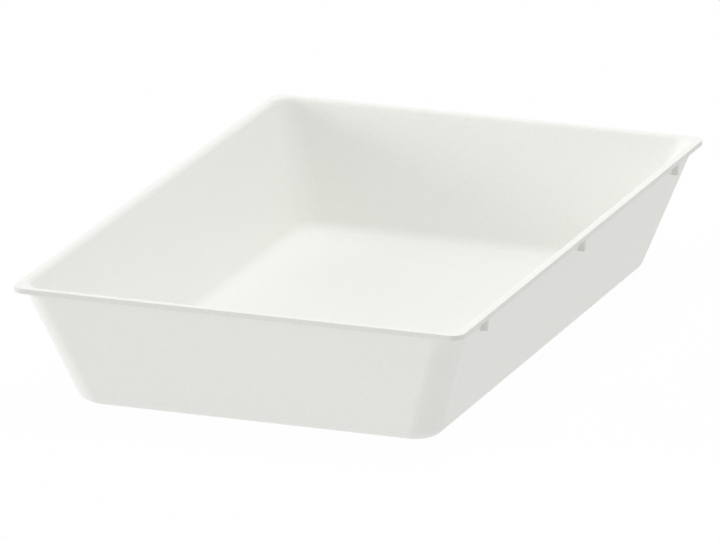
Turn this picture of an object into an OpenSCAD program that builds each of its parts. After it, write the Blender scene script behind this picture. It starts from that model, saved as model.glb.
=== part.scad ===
// Nesting tray with leaning walls, a flat rim and stacking lugs.
// Millimetres, +Z up, origin under the middle of the base.
// The short end that faces the viewer is at -Y.

/* [Overall] */
// Width across the rim
rim_w = 380; // [320:1:460]
// Length along the rim
rim_l = 594; // [480:1:720]
// Height from the base to the top of the rim
tray_h = 104; // [80:1:130]

/* [Walls] */
// Lean of all four walls, in degrees from upright
wall_lean = 19; // [14:0.5:24]
// Wall thickness, square to the wall
wall_t = 4; // [2.5:0.1:4.5]
// Floor thickness
floor_t = 4; // [2.5:0.1:6]
// Outside radius of the upright corners
corner_r = 22; // [16:0.5:34]
// Run of the rounding between the walls and the floor, inside
floor_round = 6.2; // [2:0.1:9]

/* [Rim] */
// Thickness of the rim
rim_t = 4.2; // [3:0.1:6]
// How far the rim reaches past the long walls, measured at its top
side_reach = 2.4; // [2:0.1:6]
// How far the rim reaches past the end walls, measured at its top
end_reach = 3.4; // [2:0.1:6]
// Radius of the rim's outer corners
rim_corner_r = 10.5; // [6:0.5:20]
// Run of the rounding from the rim's top into the walls
mouth_round = 3.2; // [1:0.1:4]
// Radius on the rim's outer edges
rim_edge_r = 0.7; // [0.3:0.1:1.2]

/* [Stacking lugs] */
// How far the lugs hang below the rim
lug_drop = 10; // [6:0.5:16]
// Thickness of a lug along the tray
lug_t = 4; // [2:0.5:8]
// Distance of the lugs' outer face from the rim's edge
lug_inset = 1.3; // [0.6:0.1:2]
// Distance from the ends of the rim to the lugs nearest to them
lug_end = 66; // [58:1:150]
// Radius of the lugs' lower outer corner
lug_corner_r = 1; // [0.5:0.1:2]

/* [Hidden] */
$fn = 64;
plastic = "#eff0eb";
// Outward run of the walls for each millimetre of height
lean = tan(wall_lean);
// Wall thickness measured level
wall_run = wall_t / cos(wall_lean);
// Underside of the rim, where the pan and the lugs end
rim_z = tray_h - rim_t;
// Base size, with the walls carried down to the base without rounding
base_w = rim_w - 2 * (side_reach + tray_h * lean);
base_l = rim_l - 2 * (end_reach + tray_h * lean);
// Inside corner radius and outside base rounding, which keep the wall even all round
well_corner_r = corner_r - wall_run;
base_round = floor_round + wall_t * tan((90 - wall_lean) / 2);
// Rounding of the mouth, which stays within the rim
mouth_r = min(mouth_round, rim_t);
// How far a quarter overlaps the middle before it leans
overlap = tray_h * lean + wall_t;
// Outer face, places and lower ends of the lugs
lug_x = rim_w / 2 - lug_inset;
lug_y = rim_l / 2 - lug_end;
lug_z = rim_z - lug_drop;

// The bit to take off a square corner at the origin to round it
module corner_waste(r) {
    difference() {
        square(r);
        translate([r, r]) circle(r);
    }
}

// Upright half section of a solid, with its lower outer corner rounded
module half_section(w, h, round) {
    difference() {
        square([w, h]);
        translate([w, 0]) mirror([1, 0]) corner_waste(round);
    }
}

// Half section of the pan: floor and wall in one thickness
module pan_section() {
    difference() {
        half_section(corner_r, rim_z, base_round);
        translate([0, floor_t]) half_section(well_corner_r, tray_h, floor_round);
    }
}

// Half section of the mouth, which opens out over a round edge and runs on above the rim
module mouth_section() {
    square([well_corner_r, tray_h]);
    translate([well_corner_r, tray_h]) mirror([0, 1]) corner_waste(mouth_r);
    translate([0, tray_h]) square([well_corner_r + mouth_r, rim_t]);
}

// Half section of the rim plate, with both outer edges eased
module rim_section() {
    difference() {
        square([rim_corner_r, rim_t]);
        translate([rim_corner_r, 0]) mirror([1, 0]) corner_waste(rim_edge_r);
        translate([rim_corner_r, rim_t]) rotate(180) corner_waste(rim_edge_r);
    }
}

// Runs a half section round one corner and along the two sides that meet there
module quarter_run(w, l, r, fill_h) {
    x = w / 2 - r;
    y = l / 2 - r;
    translate([x, y, 0]) {
        rotate_extrude(angle = 90) children();
        rotate([90, 0, 0]) linear_extrude(y + overlap) children();
        mirror([1, 0, 0]) rotate([90, 0, 90]) linear_extrude(x + overlap) children();
        rotate(180) cube([x + overlap, y + overlap, fill_h]);
    }
}

// Leans an upright quarter outward on both axes and repeats it four times
module leaning_quarters() {
    for (turn_x = [0, 1], turn_y = [0, 1])
        mirror([turn_x, 0, 0]) mirror([0, turn_y, 0]) intersection() {
            cube([rim_w, rim_l, 2 * tray_h]);
            multmatrix([[1, 0, lean, 0], [0, 1, lean, 0], [0, 0, 1, 0], [0, 0, 0, 1]])
                children();
        }
}

// Floor and four leaning walls, one shell of even thickness
module tray_pan() {
    color(plastic) leaning_quarters()
        quarter_run(base_w, base_l, corner_r, floor_t) pan_section();
}

// The tray's mouth as a solid, to cut the rim open
module mouth() {
    leaning_quarters()
        quarter_run(base_w - 2 * wall_run, base_l - 2 * wall_run, well_corner_r, tray_h + rim_t)
            mouth_section();
}

// Flat rim plate round the mouth
module rim_flange() {
    color(plastic) difference() {
        translate([0, 0, rim_z]) for (turn_x = [0, 1], turn_y = [0, 1])
            mirror([turn_x, 0, 0]) mirror([0, turn_y, 0])
                quarter_run(rim_w, rim_l, rim_corner_r, rim_t) rim_section();
        mouth();
    }
}

// Stacking lug on the right wall: it fills the wedge between wall and rim
module lug(y) {
    color(plastic) translate([0, y + lug_t / 2, 0]) rotate([90, 0, 0])
        linear_extrude(lug_t) difference() {
            polygon([
                [base_w / 2 + lean * rim_z, rim_z],
                [lug_x, rim_z],
                [lug_x, lug_z],
                [base_w / 2 + lean * lug_z, lug_z]
            ]);
            translate([lug_x, lug_z]) mirror([1, 0]) corner_waste(lug_corner_r);
        }
}

module lug_right_front() { lug(-lug_y); }
module lug_right_middle() { lug(0); }
module lug_right_rear() { lug(lug_y); }
module lug_left_front() { mirror([1, 0, 0]) lug(-lug_y); }
module lug_left_middle() { mirror([1, 0, 0]) lug(0); }
module lug_left_rear() { mirror([1, 0, 0]) lug(lug_y); }

tray_pan();
rim_flange();
lug_left_front();
lug_left_middle();
lug_left_rear();
lug_right_front();
lug_right_middle();
lug_right_rear();
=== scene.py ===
import math

import bmesh
import bpy
from mathutils import Euler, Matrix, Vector


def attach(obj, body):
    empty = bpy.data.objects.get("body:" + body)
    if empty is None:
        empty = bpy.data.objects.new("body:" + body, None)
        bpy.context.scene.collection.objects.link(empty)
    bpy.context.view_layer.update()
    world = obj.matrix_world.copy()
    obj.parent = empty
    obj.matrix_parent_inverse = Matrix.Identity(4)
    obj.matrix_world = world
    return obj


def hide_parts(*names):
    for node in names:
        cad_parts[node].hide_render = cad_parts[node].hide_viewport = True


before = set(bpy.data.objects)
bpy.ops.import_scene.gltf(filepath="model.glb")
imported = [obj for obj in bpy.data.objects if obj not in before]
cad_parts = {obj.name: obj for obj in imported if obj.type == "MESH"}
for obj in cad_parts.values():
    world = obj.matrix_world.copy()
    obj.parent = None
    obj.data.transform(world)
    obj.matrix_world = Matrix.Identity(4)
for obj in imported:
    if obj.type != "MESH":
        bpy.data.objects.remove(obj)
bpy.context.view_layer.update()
scene = bpy.context.scene
print("frame loaded:", len(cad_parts), "nodes")


# node helpers; the numbers are the colour sockets of a mix node

mixFactor, mixFirst, mixSecond, mixResult = 0, 6, 7, 2


def addNode(tree, kind, label=None, **settings):
    node = tree.nodes.new(kind)
    if label:
        node.label = label
    for key, value in settings.items():
        setattr(node, key, value)
    return node


def feed(tree, source, target):
    # source may be a socket or a plain value
    if isinstance(source, bpy.types.NodeSocket):
        tree.links.new(source, target)
    else:
        target.default_value = source


def calc(tree, operation, first, second=None):
    node = addNode(tree, "ShaderNodeMath", operation=operation)
    feed(tree, first, node.inputs[0])
    if second is not None:
        feed(tree, second, node.inputs[1])
    return node.outputs[0]


def addNoise(tree, place, label, noise):
    node = addNode(tree, "ShaderNodeTexNoise", label)
    node.inputs["Scale"].default_value = noise["perMetre"]
    node.inputs["Detail"].default_value = noise["detail"]
    node.inputs["Roughness"].default_value = noise["fineness"]
    tree.links.new(place.outputs["Object"], node.inputs["Vector"])
    return node.outputs["Fac"]


def addBump(tree, label, height, relief):
    node = addNode(tree, "ShaderNodeBump", label)
    node.inputs["Strength"].default_value = relief["strength"]
    node.inputs["Distance"].default_value = relief["depth"]
    tree.links.new(height, node.inputs["Height"])
    return node


# finish of the moulding: fine spark-eroded grain, soft patches of gloss, almost even colour, and painted
# shade darkening the rim's outer face and the lugs

plasticFinish = {
    "paleTone": (0.968, 0.9755, 0.937),
    "deepTone": (0.926, 0.933, 0.895),
    # painted shade: the colour the rim's outer face and the lugs are darkened to, standing in for the
    # shade they lie in
    "paintedShadeTone": (0.84, 0.84, 0.84),
    "patches": {"perMetre": 11.0, "detail": 3.0, "fineness": 0.55},
    "grain": {"perMetre": 620.0, "detail": 2.0, "fineness": 0.6},
    "flow": {"perMetre": 26.0, "detail": 1.0, "fineness": 0.5},
    "grainRelief": {"depth": 0.000018, "strength": 0.32},
    "flowRelief": {"depth": 0.00005, "strength": 0.06},
    "patchShare": 0.25,
    "toneRange": (0.45, 0.80),
    "glossRange": (0.3, 0.7),
    "smoothest": 0.44,
    "roughest": 0.56,
    "specular": 0.30,
}


def makePlastic(finish):
    material = bpy.data.materials.new("mouldedPlastic")
    material.use_nodes = True
    tree = material.node_tree
    tree.nodes.clear()
    place = addNode(tree, "ShaderNodeTexCoord")
    shader = addNode(tree, "ShaderNodeBsdfPrincipled")
    result = addNode(tree, "ShaderNodeOutputMaterial")
    patches = addNoise(tree, place, "cloudy patches", finish["patches"])
    grain = addNoise(tree, place, "moulded grain", finish["grain"])
    flow = addNoise(tree, place, "slow unevenness of the walls", finish["flow"])

    blend = addNode(tree, "ShaderNodeMapRange", "patches and grain together")
    blend.inputs["From Min"].default_value, blend.inputs["From Max"].default_value = finish["toneRange"]
    cloudy = calc(tree, "MULTIPLY", patches, finish["patchShare"])
    tree.links.new(calc(tree, "ADD", cloudy, grain), blend.inputs["Value"])
    tone = addNode(tree, "ShaderNodeMix", "tone", data_type="RGBA")
    tone.inputs[mixFirst].default_value = (*finish["deepTone"], 1.0)
    tone.inputs[mixSecond].default_value = (*finish["paleTone"], 1.0)
    tree.links.new(blend.outputs["Result"], tone.inputs[mixFactor])

    # painted shade: the colour is multiplied darker by the stored share on the rim's outer face and on
    # the lugs
    edge = addNode(
        tree, "ShaderNodeAttribute", "outer face of the rim and lugs", attribute_name="paintedShadeMask",
    )
    paintedShadeMix = addNode(
        tree, "ShaderNodeMix", "painted shade on rim edge and lugs", data_type="RGBA", blend_type="MULTIPLY",
    )
    tree.links.new(edge.outputs["Fac"], paintedShadeMix.inputs[mixFactor])
    tree.links.new(tone.outputs[mixResult], paintedShadeMix.inputs[mixFirst])
    paintedShadeMix.inputs[mixSecond].default_value = (*finish["paintedShadeTone"], 1.0)
    tree.links.new(paintedShadeMix.outputs[mixResult], shader.inputs["Base Color"])

    gloss = addNode(tree, "ShaderNodeMapRange", "gloss")
    gloss.inputs["From Min"].default_value, gloss.inputs["From Max"].default_value = finish["glossRange"]
    gloss.inputs["To Min"].default_value = finish["smoothest"]
    gloss.inputs["To Max"].default_value = finish["roughest"]
    tree.links.new(patches, gloss.inputs["Value"])
    tree.links.new(gloss.outputs["Result"], shader.inputs["Roughness"])

    wave = addBump(tree, "wall unevenness", flow, finish["flowRelief"])
    relief = addBump(tree, "grain relief", grain, finish["grainRelief"])
    tree.links.new(wave.outputs["Normal"], relief.inputs["Normal"])
    tree.links.new(relief.outputs["Normal"], shader.inputs["Normal"])

    shader.inputs["Specular IOR Level"].default_value = finish["specular"]
    tree.links.new(shader.outputs["BSDF"], result.inputs["Surface"])
    return material


plastic = makePlastic(plasticFinish)
print("plastic finish made")


# the moulding: one closed skin from the floor over the rim to the underside

trayShell = {
    "rimWidth": 0.380,
    "rimLength": 0.594,
    "height": 0.104,
    "lean": math.tan(math.radians(19.0)),
    "wall": 0.004,
    "floor": 0.004,
    "cornerRadius": 0.022,
    "floorRound": 0.0062,
    "rimThickness": 0.0042,
    "sideReach": 0.0024,
    "endReach": 0.0034,
    "rimCornerRadius": 0.0105,
    "mouthRun": 0.0022,
    "mouthDrop": 0.0034,
    "rimEdgeRound": 0.0004,
    "underRimRound": 0.0006,
    "sideThicker": 0.0007,
    # share of painted shade on the rim's outer face
    "rimEdgePaintedShade": 0.6,
    "cornerSteps": 28,
    "bendSteps": 14,
    "edgeSteps": 6,
    "seamGap": 0.000002,
    "creaseAngle": math.radians(40),
}
shellRun = trayShell["height"] * trayShell["lean"]
trayShell["baseWidth"] = trayShell["rimWidth"] - 2 * (trayShell["sideReach"] + shellRun)
trayShell["baseLength"] = trayShell["rimLength"] - 2 * (trayShell["endReach"] + shellRun)


def arc(middleReach, middleHeight, radius, fromAngle, toAngle, steps, upRadius=None):
    # points of a rounding in the upright section, angles in degrees; an upRadius makes it oval
    tall = radius if upRadius is None else upRadius
    points = []
    for i in range(steps + 1):
        a = math.radians(fromAngle + (toAngle - fromAngle) * i / steps)
        points.append((middleReach + radius * math.cos(a), middleHeight + tall * math.sin(a)))
    return points


def shellSection(s):
    # stations from the middle of the floor over the rim to the middle of the underside; each has
    # its reach from the corner's middle, height, share on the upright rim plate, spread of the ring
    # (0 draws it in to a point), share of painted shade on the rim's outer face, and share inside the
    # tray
    leanAngle = math.atan(s["lean"])
    innerRadius = s["cornerRadius"] - s["wall"] / math.cos(leanAngle)
    baseRound = s["floorRound"] + s["wall"] * math.tan((math.pi / 2 - leanAngle) / 2)
    top = s["height"]
    under = top - s["rimThickness"]
    edge = s["rimEdgeRound"]
    fillet = s["underRimRound"]
    stations = [(0.0, s["floor"], 0.0, 0.0, 0.0, 0.0), (0.0, s["floor"], 0.0, 1.0, 0.0, 1.0)]

    def run(points, onRim, inside, shadeFrom=0.0, shadeTo=0.0):
        last = len(points) - 1
        for i, (reach, height) in enumerate(points):
            face = shadeFrom + (shadeTo - shadeFrom) * i / last
            stations.append((reach, height, onRim, 1.0, face, inside))

    bend, ease = s["bendSteps"], s["edgeSteps"]
    rimReach = s["rimCornerRadius"] - edge
    across, down, floorRound, paintedShadeShare = s["mouthRun"], s["mouthDrop"], s["floorRound"], s["rimEdgePaintedShade"]
    floorBend = arc(innerRadius - floorRound, s["floor"] + floorRound, floorRound, -90, 0, bend)
    mouthBend = arc(innerRadius + across, top - down, across, 180, 90, bend, down)
    upperEdge = arc(rimReach, top - edge, edge, 90, 0, ease)
    lowerEdge = arc(rimReach, under + edge, edge, 0, -90, ease)
    underRim = arc(s["cornerRadius"] + fillet, under - fillet, fillet, 90, 180, ease)
    baseBend = arc(s["cornerRadius"] - baseRound, baseRound, baseRound, 0, -90, bend)
    run(floorBend, 0.0, 1.0)
    run(mouthBend, 0.0, 1.0)
    # the painted shade rises over the rim's upper edge and covers its outer face
    run(upperEdge, 1.0, 0.0, 0.0, paintedShadeShare)
    run(lowerEdge, 1.0, 0.0, paintedShadeShare, paintedShadeShare)
    run(underRim, 0.0, 0.0)
    run(baseBend, 0.0, 0.0)
    stations.extend([(0.0, 0.0, 0.0, 1.0, 0.0, 0.0), (0.0, 0.0, 0.0, 0.0, 0.0, 0.0)])
    return stations


def stationMesh(stations):
    mesh = bpy.data.meshes.new("shellSection")
    points = [(station[0], 0.0, station[1]) for station in stations]
    mesh.from_pydata(points, [(i, i + 1) for i in range(len(points) - 1)], [])
    for column, name in enumerate(("reach", "height", "onRim", "spread", "paintedShadeMask", "inside")):
        values = mesh.attributes.new(name, "FLOAT", "POINT")
        values.data.foreach_set("value", [station[column] for station in stations])
    return mesh


def addInput(tree, name, kind, value=None):
    socket = tree.interface.new_socket(name, in_out="INPUT", socket_type=kind)
    if value is not None:
        socket.default_value = value
    return socket


def shellTree(s):
    # lays every station of the section round the tray as a closed ring with four rounded corners
    tree = bpy.data.node_groups.new("trayShellRings", "GeometryNodeTree")
    addInput(tree, "Section", "NodeSocketGeometry")
    sizes = (
        ("Base Width", "baseWidth"), ("Base Length", "baseLength"), ("Lean", "lean"),
        ("Corner Radius", "cornerRadius"), ("Rim Width", "rimWidth"),
        ("Rim Length", "rimLength"), ("Rim Corner Radius", "rimCornerRadius"),
        ("Side Thicker", "sideThicker"),
    )
    for name, key in sizes:
        addInput(tree, name, "NodeSocketFloat", s[key])
    addInput(tree, "Corner Steps", "NodeSocketInt", s["cornerSteps"])
    addInput(tree, "Finish", "NodeSocketMaterial")
    tree.interface.new_socket("Shell", in_out="OUTPUT", socket_type="NodeSocketGeometry")
    given = addNode(tree, "NodeGroupInput")
    size = given.outputs

    count = addNode(tree, "GeometryNodeAttributeDomainSize", component="MESH")
    tree.links.new(size["Section"], count.inputs[0])
    stations = count.outputs["Point Count"]
    perCorner = calc(tree, "ADD", size["Corner Steps"], 1.0)
    columns = calc(tree, "ADD", calc(tree, "MULTIPLY", perCorner, 4.0), 1.0)
    grid = addNode(tree, "GeometryNodeMeshGrid", "rings by stations")
    tree.links.new(columns, grid.inputs["Vertices X"])
    tree.links.new(stations, grid.inputs["Vertices Y"])

    index = addNode(tree, "GeometryNodeInputIndex").outputs[0]
    column = calc(tree, "FLOOR", calc(tree, "DIVIDE", calc(tree, "ADD", index, 0.5), stations))
    station = calc(tree, "SUBTRACT", index, calc(tree, "MULTIPLY", column, stations))
    corner = calc(tree, "FLOOR", calc(tree, "DIVIDE", calc(tree, "ADD", column, 0.5), perCorner))
    step = calc(tree, "SUBTRACT", column, calc(tree, "MULTIPLY", corner, perCorner))
    quarter = math.pi / 2
    cornerTurn = calc(tree, "MULTIPLY", corner, quarter)
    stepTurn = calc(tree, "MULTIPLY", calc(tree, "DIVIDE", step, size["Corner Steps"]), quarter)
    turn = calc(tree, "ADD", cornerTurn, stepTurn)
    middle = calc(tree, "ADD", cornerTurn, quarter / 2)

    def sample(name):
        read = addNode(tree, "GeometryNodeInputNamedAttribute", data_type="FLOAT")
        read.inputs["Name"].default_value = name
        pick = addNode(tree, "GeometryNodeSampleIndex", name, data_type="FLOAT", domain="POINT")
        tree.links.new(size["Section"], pick.inputs["Geometry"])
        tree.links.new(read.outputs[0], pick.inputs["Value"])
        tree.links.new(station, pick.inputs["Index"])
        return pick.outputs[0]

    reach, height, onRim, spread = (sample(name) for name in ("reach", "height", "onRim", "spread"))
    paintedShadeMask, inside = sample("paintedShadeMask"), sample("inside")

    def along(base, rim, thicker, direction):
        # the corner's middle leans outward with height on the pan and stands upright on the rim plate
        panMiddle = calc(tree, "SUBTRACT", calc(tree, "DIVIDE", base, 2.0), size["Corner Radius"])
        panMiddle = calc(tree, "ADD", panMiddle, calc(tree, "MULTIPLY", size["Lean"], height))
        panMiddle = calc(tree, "SUBTRACT", panMiddle, calc(tree, "MULTIPLY", inside, thicker))
        rimMiddle = calc(tree, "SUBTRACT", calc(tree, "DIVIDE", rim, 2.0), size["Rim Corner Radius"])
        change = calc(tree, "MULTIPLY", calc(tree, "SUBTRACT", rimMiddle, panMiddle), onRim)
        sign = calc(tree, "SIGN", calc(tree, direction, middle))
        signed = calc(tree, "MULTIPLY", calc(tree, "ADD", panMiddle, change), sign)
        out = calc(tree, "ADD", signed, calc(tree, "MULTIPLY", reach, calc(tree, direction, turn)))
        return calc(tree, "MULTIPLY", out, spread)

    spot = addNode(tree, "ShaderNodeCombineXYZ")
    acrossTray = along(size["Base Width"], size["Rim Width"], size["Side Thicker"], "COSINE")
    alongTray = along(size["Base Length"], size["Rim Length"], 0.0, "SINE")
    tree.links.new(acrossTray, spot.inputs[0])
    tree.links.new(alongTray, spot.inputs[1])
    tree.links.new(height, spot.inputs[2])
    place = addNode(tree, "GeometryNodeSetPosition")
    tree.links.new(grid.outputs["Mesh"], place.inputs["Geometry"])
    tree.links.new(spot.outputs[0], place.inputs["Position"])

    # stores the painted shade share for the material
    mark = addNode(
        tree, "GeometryNodeStoreNamedAttribute", "outer face of the rim",
        data_type="FLOAT", domain="POINT",
    )
    mark.inputs["Name"].default_value = "paintedShadeMask"
    tree.links.new(place.outputs[0], mark.inputs["Geometry"])
    tree.links.new(paintedShadeMask, mark.inputs["Value"])
    close = addNode(tree, "GeometryNodeMergeByDistance", "close seam and poles")
    close.inputs["Distance"].default_value = s["seamGap"]
    tree.links.new(mark.outputs[0], close.inputs["Geometry"])
    smooth = addNode(tree, "GeometryNodeSetShadeSmooth")
    tree.links.new(close.outputs[0], smooth.inputs["Geometry"])
    finishTree(tree, smooth.outputs[0], size["Finish"])
    return tree


def finishTree(tree, shape, finish):
    real = addNode(tree, "GeometryNodeRealizeInstances")
    dress = addNode(tree, "GeometryNodeSetMaterial")
    out = addNode(tree, "NodeGroupOutput")
    tree.links.new(shape, real.inputs["Geometry"])
    tree.links.new(real.outputs[0], dress.inputs["Geometry"])
    tree.links.new(finish, dress.inputs["Material"])
    tree.links.new(dress.outputs[0], out.inputs[0])


def setInput(modifier, name, value):
    for item in modifier.node_group.interface.items_tree:
        if item.item_type == "SOCKET" and item.in_out == "INPUT" and item.name == name:
            modifier[item.identifier] = value


def grow(name, startMesh, tree, values):
    # runs the tree on the start mesh and keeps the result as a plain mesh
    starter = bpy.data.objects.new(name + "Start", startMesh)
    scene.collection.objects.link(starter)
    modifier = starter.modifiers.new("grow", "NODES")
    modifier.node_group = tree
    for key, value in values.items():
        setInput(modifier, key, value)
    bpy.context.view_layer.update()
    depsgraph = bpy.context.evaluated_depsgraph_get()
    mesh = bpy.data.meshes.new_from_object(starter.evaluated_get(depsgraph))
    starter.modifiers.remove(modifier)
    bpy.data.objects.remove(starter)
    mesh.name = name
    piece = bpy.data.objects.new(name, mesh)
    scene.collection.objects.link(piece)
    return piece


slimmestEdge = 1e-7  # metres
flatWeight = 100  # how strongly large faces rule the shading


def settleNormals(piece, sharpAngle):
    # outward faces, creases kept, and flat walls that stay flat right up to their bends
    mesh = piece.data
    work = bmesh.new()
    work.from_mesh(mesh)
    bmesh.ops.dissolve_degenerate(work, dist=slimmestEdge, edges=work.edges)
    bmesh.ops.recalc_face_normals(work, faces=work.faces)
    for face in work.faces:
        face.smooth = True
    for edge in work.edges:
        edge.smooth = len(edge.link_faces) == 2 and edge.calc_face_angle() < sharpAngle
    work.to_mesh(mesh)
    work.free()
    weigh = piece.modifiers.new("flatWalls", "WEIGHTED_NORMAL")
    weigh.mode = "FACE_AREA"
    weigh.weight = flatWeight
    weigh.keep_sharp = True
    bpy.context.view_layer.update()
    depsgraph = bpy.context.evaluated_depsgraph_get()
    finished = bpy.data.meshes.new_from_object(piece.evaluated_get(depsgraph))
    piece.modifiers.remove(weigh)
    piece.data = finished
    finished.name = piece.name
    bpy.data.meshes.remove(mesh)


shellStart = stationMesh(shellSection(trayShell))
shell = grow("trayShell", shellStart, shellTree(trayShell), {"Finish": plastic})
settleNormals(shell, trayShell["creaseAngle"])
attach(shell, "root")
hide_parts("tray_pan", "rim_flange")
print("tray shell:", len(shell.data.polygons), "faces")


# stacking lugs in the wedge between the long walls and the rim

stackingLug = {
    "drop": 0.010,
    "thickness": 0.004,
    "inset": 0.0013,
    "fromEnd": 0.066,
    "lowerRound": 0.001,
    "edgeEase": 0.0003,
    "sink": 0.0006,
    "perSide": 3,
    "roundSteps": 6,
    "easeSteps": 3,
    "easedFrom": 0.9,
    "creaseAngle": math.radians(50),
    # painted shade over the whole lug, which sits in shade under the rim
    "paintedShadeShare": 1.0,
}


def lugMesh(lug, s):
    # one lug on the right-hand wall at the middle of its length, sunk a little into wall and rim
    under = s["height"] - s["rimThickness"]
    outer = s["rimWidth"] / 2 - lug["inset"]
    foot = under - lug["drop"]
    head = under + lug["sink"]
    r = lug["lowerRound"]
    section = [(s["baseWidth"] / 2 + s["lean"] * z - lug["sink"], z) for z in (head, foot)]
    section += arc(outer - r, foot + r, r, -90, 0, lug["roundSteps"])
    section.append((outer, head))
    work = bmesh.new()
    rings = []
    for y in (-lug["thickness"] / 2, lug["thickness"] / 2):
        rings.append([work.verts.new((x, y, z)) for x, z in section])
    work.faces.new(rings[0])
    work.faces.new(list(reversed(rings[1])))
    for i in range(len(section)):
        j = (i + 1) % len(section)
        work.faces.new((rings[0][j], rings[0][i], rings[1][i], rings[1][j]))
    bmesh.ops.recalc_face_normals(work, faces=work.faces)
    work.edges.ensure_lookup_table()
    eased = [e for e in work.edges if e.calc_face_angle() > lug["easedFrom"]]
    bmesh.ops.bevel(
        work, geom=eased, offset=lug["edgeEase"], segments=lug["easeSteps"], profile=0.5,
        affect="EDGES", clamp_overlap=True,
    )
    mesh = bpy.data.meshes.new("lugStart")
    work.to_mesh(mesh)
    work.free()
    # painted shade: the whole lug is darkened, standing in for the shade under the rim
    face = mesh.attributes.new("paintedShadeMask", "FLOAT", "POINT")
    face.data.foreach_set("value", [lug["paintedShadeShare"]] * len(mesh.vertices))
    return mesh


def lugTree():
    # a row of lugs along one wall, and the same row turned half round for the other
    tree = bpy.data.node_groups.new("stackingLugRows", "GeometryNodeTree")
    addInput(tree, "Lug", "NodeSocketGeometry")
    addInput(tree, "Per Side", "NodeSocketInt")
    addInput(tree, "Row Length", "NodeSocketFloat")
    addInput(tree, "Finish", "NodeSocketMaterial")
    tree.interface.new_socket("Lugs", in_out="OUTPUT", socket_type="NodeSocketGeometry")
    given = addNode(tree, "NodeGroupInput")
    start = addNode(tree, "ShaderNodeCombineXYZ")
    end = addNode(tree, "ShaderNodeCombineXYZ")
    half = calc(tree, "DIVIDE", given.outputs["Row Length"], 2.0)
    tree.links.new(calc(tree, "MULTIPLY", half, -1.0), start.inputs[1])
    tree.links.new(half, end.inputs[1])
    row = addNode(tree, "GeometryNodeMeshLine", "places along the wall", mode="END_POINTS")
    tree.links.new(given.outputs["Per Side"], row.inputs["Count"])
    tree.links.new(start.outputs[0], row.inputs["Start Location"])
    tree.links.new(end.outputs[0], row.inputs["Offset"])
    repeat = addNode(tree, "GeometryNodeInstanceOnPoints")
    tree.links.new(row.outputs[0], repeat.inputs["Points"])
    tree.links.new(given.outputs["Lug"], repeat.inputs["Instance"])
    other = addNode(tree, "GeometryNodeTransform", "other wall")
    other.inputs["Rotation"].default_value = (0.0, 0.0, math.pi)
    tree.links.new(repeat.outputs[0], other.inputs["Geometry"])
    both = addNode(tree, "GeometryNodeJoinGeometry")
    tree.links.new(repeat.outputs[0], both.inputs[0])
    tree.links.new(other.outputs[0], both.inputs[0])
    finishTree(tree, both.outputs[0], given.outputs["Finish"])
    return tree


lugRow = trayShell["rimLength"] - 2 * stackingLug["fromEnd"]
lugs = grow(
    "stackingLugs", lugMesh(stackingLug, trayShell), lugTree(),
    {"Per Side": stackingLug["perSide"], "Row Length": lugRow, "Finish": plastic},
)
settleNormals(lugs, stackingLug["creaseAngle"])
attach(lugs, "root")
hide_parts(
    "lug_left_front", "lug_left_middle", "lug_left_rear",
    "lug_right_front", "lug_right_middle", "lug_right_rear",
)
print("stacking lugs:", len(lugs.data.polygons), "faces")


# floor and background: white to the eye, with a faint shadow left under the tray

studioFloor = {
    "halfSize": 6.0,
    "level": -0.0002,
    "tone": (0.08, 0.08, 0.08),
    "toneFleck": (0.07, 0.07, 0.07),
    "seenTone": (1.0, 1.0, 1.0),
    "glow": 0.722,
    "whiteShare": 0.95,
    "fleck": {"perMetre": 40.0, "detail": 2.0, "fineness": 0.5},
    "cells": 8,
}


def seenDirectly(tree):
    # camera, mirror and see-through rays all meet the white background
    path = addNode(tree, "ShaderNodeLightPath")
    first = calc(tree, "MAXIMUM", path.outputs["Is Camera Ray"], path.outputs["Is Glossy Ray"])
    return calc(tree, "MAXIMUM", first, path.outputs["Is Transmission Ray"])


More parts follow.
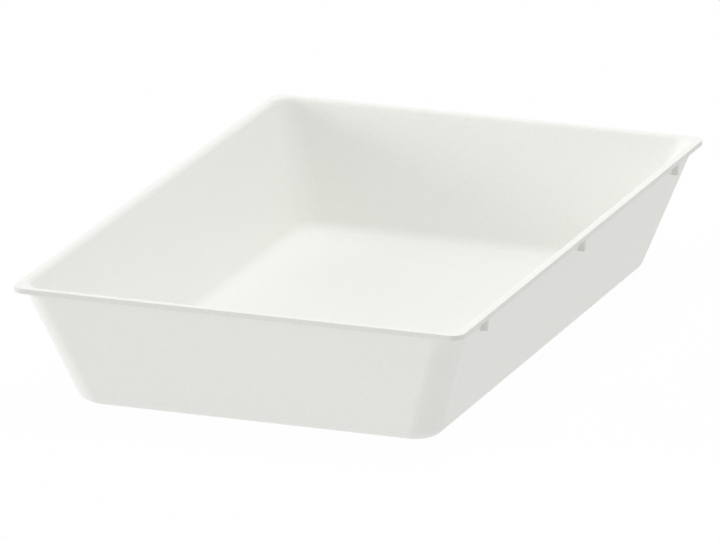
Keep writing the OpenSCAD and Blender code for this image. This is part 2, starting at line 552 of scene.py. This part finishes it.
def makeFloor(f):
    work = bmesh.new()
    bmesh.ops.create_grid(work, x_segments=f["cells"], y_segments=f["cells"], size=f["halfSize"])
    mesh = bpy.data.meshes.new("studioFloor")
    work.to_mesh(mesh)
    work.free()
    for v in mesh.vertices:
        v.co.z = f["level"]
    floor = bpy.data.objects.new("studioFloor", mesh)
    scene.collection.objects.link(floor)
    material = bpy.data.materials.new("whitePaper")
    material.use_nodes = True
    tree = material.node_tree
    tree.nodes.clear()
    place = addNode(tree, "ShaderNodeTexCoord")
    tone = addNode(tree, "ShaderNodeMix", data_type="RGBA")
    tone.inputs[mixFirst].default_value = (*f["toneFleck"], 1.0)
    tone.inputs[mixSecond].default_value = (*f["tone"], 1.0)
    tree.links.new(addNoise(tree, place, "paper fleck", f["fleck"]), tone.inputs[mixFactor])
    paper = addNode(tree, "ShaderNodeBsdfDiffuse")
    tree.links.new(tone.outputs[mixResult], paper.inputs["Color"])
    glow = addNode(tree, "ShaderNodeEmission", "light table under the paper")
    glow.inputs["Strength"].default_value = f["glow"]
    lit = addNode(tree, "ShaderNodeAddShader")
    tree.links.new(paper.outputs[0], lit.inputs[0])
    tree.links.new(glow.outputs[0], lit.inputs[1])
    white = addNode(tree, "ShaderNodeEmission", "white to the eye")
    white.inputs["Strength"].default_value = 1.0
    shaded = addNode(tree, "ShaderNodeBsdfDiffuse", "takes the shadow")
    shaded.inputs["Color"].default_value = (*f["seenTone"], 1.0)
    seen = addNode(tree, "ShaderNodeMixShader", "white with a faint shadow")
    seen.inputs[0].default_value = f["whiteShare"]
    tree.links.new(shaded.outputs[0], seen.inputs[1])
    tree.links.new(white.outputs[0], seen.inputs[2])
    mix = addNode(tree, "ShaderNodeMixShader")
    tree.links.new(seenDirectly(tree), mix.inputs[0])
    tree.links.new(lit.outputs[0], mix.inputs[1])
    tree.links.new(seen.outputs[0], mix.inputs[2])
    result = addNode(tree, "ShaderNodeOutputMaterial")
    tree.links.new(mix.outputs[0], result.inputs["Surface"])
    mesh.materials.append(material)


makeFloor(studioFloor)


# soft studio light

studioLight = {
    "roomLevel": 0.493,
    "lampDistance": 3.0,
    "lamps": {
        "overhead": {"azimuth": 0, "elevation": 90, "spread": 60, "strength": 0.66},
        "highRearRight": {"azimuth": 135, "elevation": 60, "spread": 50, "strength": 0.54},
        "lowLeft": {"azimuth": 287, "elevation": 12, "spread": 20, "strength": 0.86},
        "lowFrontLeft": {"azimuth": 315, "elevation": 12, "spread": 40, "strength": 0.25},
        "lowRear": {"azimuth": 180, "elevation": 12, "spread": 40, "strength": 0.29},
    },
}


def makeLights(light):
    world = bpy.data.worlds.new("whiteRoom")
    scene.world = world
    world.use_nodes = True
    tree = world.node_tree
    tree.nodes.clear()
    sky = addNode(tree, "ShaderNodeBackground")
    sky.inputs["Color"].default_value = (1.0, 1.0, 1.0, 1.0)
    strength = addNode(tree, "ShaderNodeMapRange", "room light, or white where it is seen")
    strength.inputs["To Min"].default_value = light["roomLevel"]
    strength.inputs["To Max"].default_value = 1.0
    tree.links.new(seenDirectly(tree), strength.inputs["Value"])
    tree.links.new(strength.outputs["Result"], sky.inputs["Strength"])
    result = addNode(tree, "ShaderNodeOutputWorld")
    tree.links.new(sky.outputs[0], result.inputs["Surface"])
    for name, lamp in light["lamps"].items():
        # azimuth 0 is in front of the tray, 90 to its right
        turn, rise = math.radians(lamp["azimuth"]), math.radians(lamp["elevation"])
        level = math.cos(rise)
        towards = Vector((math.sin(turn) * level, -math.cos(turn) * level, math.sin(rise)))
        data = bpy.data.lights.new(name, "SUN")
        data.angle = math.radians(lamp["spread"])
        data.energy = lamp["strength"]
        item = bpy.data.objects.new(name, data)
        item.location = towards * light["lampDistance"]
        item.rotation_euler = (-towards).to_track_quat("-Z", "Y").to_euler()
        scene.collection.objects.link(item)


makeLights(studioLight)
scene.view_settings.view_transform = "Standard"
print("floor and lights placed")


# camera: 20.4 degrees to the right of the tray's length, 16.9 degrees down, very long lens

viewPoint = {
    "azimuth": math.radians(20.3821),
    "elevation": math.radians(16.9002),
    "distance": 9.65773,
    "lens": 596.717,
    "sensor": 36.0,
    "near": 0.05,
    "far": 60.0,
    "aim": (0.0, 0.0, 0.104),
    "focalPixels": 11934.331,
    "sidewaysPixels": 5.150,
    "upwardsPixels": -59.020,
}


def makeCamera(v):
    data = bpy.data.cameras.new("photoCamera")
    data.sensor_fit = "HORIZONTAL"
    data.sensor_width = v["sensor"]
    data.lens = v["lens"]
    data.clip_start = v["near"]
    data.clip_end = v["far"]
    camera = bpy.data.objects.new("photoCamera", data)
    turn = Euler((math.pi / 2 - v["elevation"], 0.0, v["azimuth"]))
    axes = turn.to_matrix()
    right, up, back = axes.col[0], axes.col[1], axes.col[2]
    sideways = v["sidewaysPixels"] / v["focalPixels"]
    upwards = v["upwardsPixels"] / v["focalPixels"]
    shift = back - right * sideways + up * upwards
    camera.location = Vector(v["aim"]) + shift * v["distance"]
    camera.rotation_euler = turn
    scene.collection.objects.link(camera)
    scene.camera = camera


makeCamera(viewPoint)
